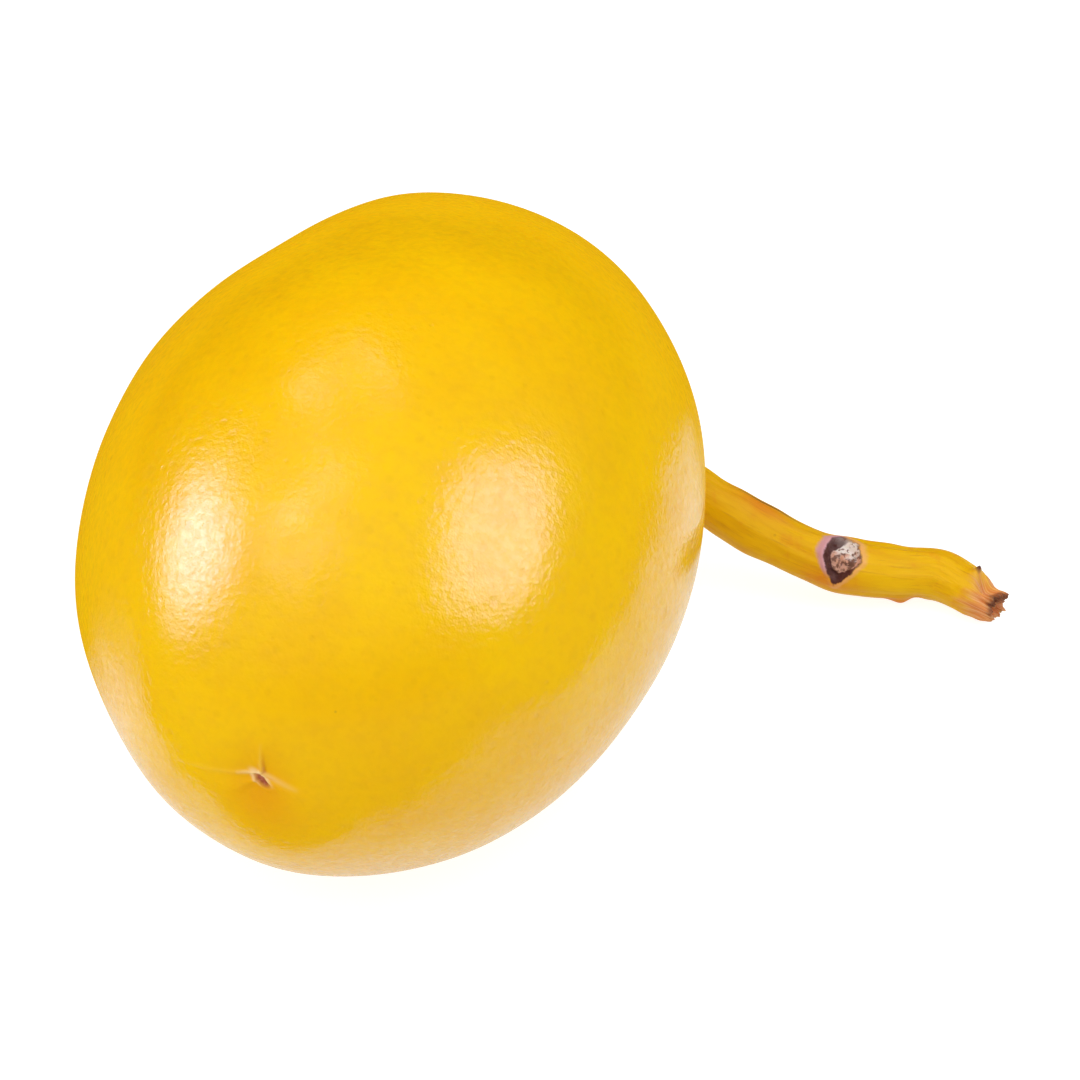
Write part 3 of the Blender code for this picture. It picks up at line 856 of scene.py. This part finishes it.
def paintScar(tree, colour, inMm):
    # A shield with its point below: a lilac rim on its left and a pale orange one on its right, a dark line
    # that is thick on the left and at the point, and inside it pale above, then pink and brown. Its place is
    # read from the mark scarSpot: along the strand and round it in mm, and 0 to 1 from its middle to its edge
    look = barkLook
    spot = splitUp(tree, attribute(tree, "scarSpot", "Vector"))
    wobble, flecks = noise(tree, inMm, 2.6, 3.0), noise(tree, inMm, 4.5, 3.0)
    out = jittered(tree, spot[2], wobble, 0.4)
    leftward, downward = stretched(tree, spot[0], 0.3, -0.4), stretched(tree, spot[1], 0.0, -0.9)
    upward = stretched(tree, jittered(tree, spot[1], wobble, 2.0), 0.0, 0.8)
    rightRim = times(tree, stretched(tree, out, 1.55, 1.15), worked(tree, "SUBTRACT", 1.0, leftward))
    colour = tinted(tree, look, colour, (rightRim, 0.7, "halo"))
    leftRim = times(tree, leftward, stretched(tree, spot[1], -1.1, -0.5), stretched(tree, out, 1.62, 1.32))
    colour = mixed(tree, leftRim, colour, look["lilac"])
    inside = mixed(tree, stretched(tree, flecks, 0.44, 0.56), look["brownInside"], look["pinkInside"])
    inside = tinted(tree, look, inside, (upward, stretched(tree, flecks, 0.36, 0.5), "paleInside"))
    colour = mixed(tree, stretched(tree, out, 1.05, 0.95), colour, inside)
    thick = worked(tree, "MAXIMUM", leftward, downward)
    lineStart = added(tree, look["lineStart"], thick, -look["lineGrows"])
    line = times(
        tree, stretched(tree, out, lineStart, worked(tree, "ADD", lineStart, 0.1)),
        stretched(tree, out, 1.12, 1.0),
        stretched(tree, spot[1], 1.25, 0.75, 0.75, 0.95),
        stretched(tree, thick, 0.0, 0.6, 0.62, 1.0),
    )
    return mixed(tree, line, colour, look["dark"])


def makeBark():
    material, tree, shader, inMm = newMaterial(
        "yellowBark", IOR=1.3, Specular_Tint=(0.8, 0.5, 0.5, 1.0),
        Subsurface_Weight=0.08, Subsurface_Radius=(1.0, 0.4, 0.05), Subsurface_Scale=0.0008,
    )
    look = barkLook
    grain = attribute(tree, "grain", "Vector")
    coarse = useGroup(tree, fibres, Along=grain, Spacing=0.38, Stretch=9.0)
    fine = useGroup(tree, fibres, Along=grain, Spacing=0.09, Stretch=16.0, Detail=4.0)
    patches = useGroup(tree, blotches, Place=inMm, Size=1.6, From=0.35, To=0.7)
    warm = useGroup(tree, blotches, Place=inMm, Size=0.8, From=0.55, To=0.75)
    pores = useGroup(tree, specks, Place=grain, Spacing=0.6, Size=0.16, Share=0.35)
    bundles = useGroup(tree, specks, Place=inMm, Spacing=0.26, Size=0.36, Share=0.45)
    colour = tinted(
        tree, look, look["yellow"],
        (stretched(tree, coarse, 0.4, 0.7), 0.5, "deep"), (patches, 0.25, "deep"), (warm, 0.3, "orange"),
        (stretched(tree, fine, 0.56, 0.72), 0.3, "streak"), (pores, 0.3, "streak"),
        ("seamGlow", 0.7, "orange"), ("redBump", 0.85, "orange"), ("underScar", 0.65, "orange"),
        ("upperSeam", 0.9, "dark"), ("oldScarRim", 0.5, "orange"), ("oldScar", 0.85, "brownInside"),
    )
    colour = paintScar(tree, colour, inMm)
    # The torn end and the stub: reddish fibres, dark bundles on the break and a dark edge
    torn = stretched(tree, jittered(tree, attribute(tree, "torn"), coarse, 0.9), 0.25, 0.95)
    stub = stretched(tree, jittered(tree, attribute(tree, "stub"), coarse, 0.9), 0.3, 1.0)
    tornColour = mixed(tree, stretched(tree, fine, 0.4, 0.62), look["tornFibre"], look["tornPale"])
    broken = tinted(tree, look, tornColour, (bundles, 0.45, "edge"))
    colour = tinted(
        tree, look, colour, (torn, 0.9, tornColour), (stub, 0.8, tornColour), ("broken", 0.9, broken),
        ("spurTip", 1.0, "edge"), ("endEdge", 0.8, "edge"),
    )
    height = added(tree, coarse, fine, look["fineOnHeight"])
    roughness = added(tree, look["roughness"], coarse, look["fibreRough"])
    roughness = added(tree, roughness, torn, look["tornRough"])
    finishMaterial(tree, shader, colour, roughness, height, look["bump"])
    return material


makeStrand(makeBark())
print("strand is done")


# The calyx: three petals, and on them a cup of three sepals with the base that the fruit hangs by

# What all blades share: rings from side to side, points round each ring, how much thinner they get towards
# the rim, and the number and height of their veins
allBlades = {"rings": 95, "columns": 72, "thinning": 0.62, "veins": 22, "veinHeight": 0.018}
petalShape = {
    "reach": 4.85, "root": 0.7, "meet": 2.3, "halfSpread": 70, "firstTurn": -7, "bluntness": 2.6,
    "under": 0.05, "thick": 0.50, "sideLift": 0.62, "curl": 0.34, "wrinkle": 0.055, "rimWave": 0.05, "seed": 31,
}
sepalShape = {
    "reach": 3.15, "root": 0.5, "meet": 1.5, "halfSpread": 62, "firstTurn": 53, "bluntness": 1.9,
    "under": 1.02, "thick": 0.52, "sideLift": 0.18, "curl": 0.30, "wrinkle": 0.07, "rimWave": 0.07, "seed": 41,
}
bossShape = {
    "radius": 1.42, "low": -0.15, "high": 3.3, "waist": 0.16, "flare": 0.30, "rings": 80, "columns": 96,
    "foot": 1.0, "footFrom": 0.75, "footTo": 1.45,  # how much wider it is below, and where that ends
    "creases": 0.035,  # height of the rings round it
}


def overStemEnd(distance, around, height):
    # A point at a height over the fruit's stem end, at a distance from its axis
    polar = np.pi - np.arcsin(distance / (fruitShape["diameter"] / 2))
    return fruitPoint(polar, around) + fruitOutward(polar, around) * height[..., None]


def bladeShell(shape, number):
    # One blade as rings from its left to its right side: each ring runs from the root over the top to the
    # edge and back underneath, and it closes to a point at both sides
    pick = np.random.default_rng(shape["seed"] + number)
    rows = allBlades["rings"]
    across = (np.arange(1, rows + 1) / (rows + 1) * np.pi)[:, None]
    loop = allRound(allBlades["columns"])
    side = -np.cos(across) + 0 * loop
    out = (1 - np.cos(loop)) / 2 + 0 * across
    face = np.sign(np.sin(loop)) * np.abs(np.sin(loop)) ** 0.6 * np.sin(across) ** 0.5
    phase = pick.uniform(0, turn, 6)
    # An uneven rim: six waves across the blade, lower as they get shorter
    wave = sum(np.cos((k + 2) * 2.3 * side + phase[k]) / (k + 1.5) for k in range(6))
    inner = shape["root"] + (shape["meet"] - shape["root"]) * np.abs(side) ** 4
    outline = (1 - np.abs(side) ** shape["bluntness"]) ** 0.5
    outer = shape["meet"] + (shape["reach"] - shape["meet"]) * outline * (1 + shape["rimWave"] * wave * 0.5)
    distance = inner + (outer - inner) * out
    sideTurn = side * np.radians(shape["halfSpread"])
    around = np.radians(shape["firstTurn"] + 120 * number) + sideTurn
    thick = shape["thick"] * (1 - allBlades["thinning"] * out**2)
    middle = shape["under"] + shape["thick"] / 2 + shape["sideLift"] * (0.5 + 0.5 * side) * out
    middle = middle + shape["curl"] * out**4 * (0.7 + 0.3 * wave)
    place = joined(distance * np.cos(around), distance * np.sin(around), 0.0)
    middle = middle + shape["wrinkle"] * out * lumps(place, 1.3, shape["seed"] + number)
    veins = np.cos(sideTurn * allBlades["veins"] + 1.2 * wave) * allBlades["veinHeight"] * out
    height = middle + face * thick / 2 + veins * (face > 0)
    rings = overStemEnd(np.clip(distance, 0.01, 12), around, height)
    ends = [overStemEnd(np.array(shape["meet"]), around[row, 0], middle[row, 0]) for row in (0, -1)]
    marks = {
        "blade": joined(sideTurn * 3.0, number * 7.0, distance),
        "rimward": ramp(out + 0.08 * wave, 0.55, 1.02),
        "sideward": np.abs(side) ** 6,
        "rootward": ramp(distance, shape["meet"] + 0.4, shape["root"]),
    }
    return {"rings": rings, "first": ends[0], "last": ends[1], "marks": marks}


def bossShell():
    # The short thick base: a post with a waist and a wide foot among the petals, that runs up into the strand
    shape = bossShape
    rise = np.linspace(0, 1, shape["rings"])[:, None]
    around = allRound(shape["columns"])
    wave = waves(around, ((0.05, 3, 1), (0.03, 7, 2 + 2 * rise), (0.012, 19, 0)))
    radius = shape["radius"] * (1 - shape["waist"] * np.sin(np.pi * rise) + wave)
    radius = radius + shape["flare"] * ramp(rise, 0.6, 1.0) * (0.6 + 0.4 * np.cos(around) ** 2)
    radius = radius + shape["creases"] * np.cos(rise * 26 + 2 * np.cos(around * 2)) * (1 - rise)
    base = shape["low"] + (shape["high"] - shape["low"]) * rise
    radius = radius + shape["foot"] * (1 - ramp(base, shape["footFrom"], shape["footTo"]))
    y = fruitPoint(np.pi, 0.0)[1] + base
    rings = joined(radius * np.cos(around), y, fruitMiddle.z - radius * np.sin(around))
    ends = [np.array((0, y[row, 0], fruitMiddle.z)) for row in (0, -1)]
    zero = 0 * radius
    marks = {
        "blade": joined(radius * np.cos(around), radius * np.sin(around) + 30, base),
        "rimward": zero, "sideward": zero, "rootward": 0.6 + zero,
    }
    return {"rings": rings, "first": ends[0], "last": ends[1], "marks": marks}


calyxLook = {
    "petal": {"base": (0.47, 0.27, 0.075), "cool": (0.30, 0.215, 0.075), "edge": (0.20, 0.085, 0.035),
              "root": (0.46, 0.31, 0.03), "vein": (0.22, 0.11, 0.04), "bump": 0.10},
    "sepal": {"base": (0.22, 0.12, 0.045), "cool": (0.16, 0.12, 0.06), "edge": (0.075, 0.035, 0.02),
              "root": (0.33, 0.20, 0.035), "vein": (0.09, 0.045, 0.022), "bump": 0.12},
    "roughness": 0.52, "patchRough": 0.2, "paperOnHeight": 0.4,  # of both
}


def makeDry(name, look):
    # Dry plant skin: two tones in patches, veins that run outwards, darker edges and a paler root
    material, tree, shader, inMm = newMaterial(name, IOR=1.4)
    blade = attribute(tree, "blade", "Vector")
    patches = useGroup(tree, blotches, Place=inMm, Size=1.3, From=0.36, To=0.66, Detail=4.0)
    veins = useGroup(tree, fibres, Along=blade, Spacing=0.22, Stretch=9.0)
    paper = useGroup(tree, fibres, Along=blade, Spacing=0.07, Stretch=3.0, Detail=4.0)
    spots = useGroup(tree, specks, Place=inMm, Spacing=0.42, Size=0.2, Share=0.35)
    rim = stretched(tree, jittered(tree, attribute(tree, "rimward"), paper, 0.8), 0.45, 1.0)
    colour = tinted(
        tree, look, mixed(tree, patches, look["base"], look["cool"]),
        ("rootward", 0.7, "root"), (stretched(tree, veins, 0.5, 0.68), 0.65, "vein"),
        (spots, 0.5, "vein"), (rim, 0.85, "edge"), ("sideward", 0.5, "edge"),
    )
    height = added(tree, veins, paper, calyxLook["paperOnHeight"])
    roughness = added(tree, calyxLook["roughness"], patches, calyxLook["patchRough"])
    finishMaterial(tree, shader, colour, roughness, height, look["bump"])
    return material


addPiece("dryPetals", [bladeShell(petalShape, n) for n in range(3)], makeDry("tanPetal", calyxLook["petal"]),
         "petals")
addPiece("dryCup", [bossShell(), *(bladeShell(sepalShape, n) for n in range(3))],
         makeDry("brownSepal", calyxLook["sepal"]), "sepals")
print("calyx is done")
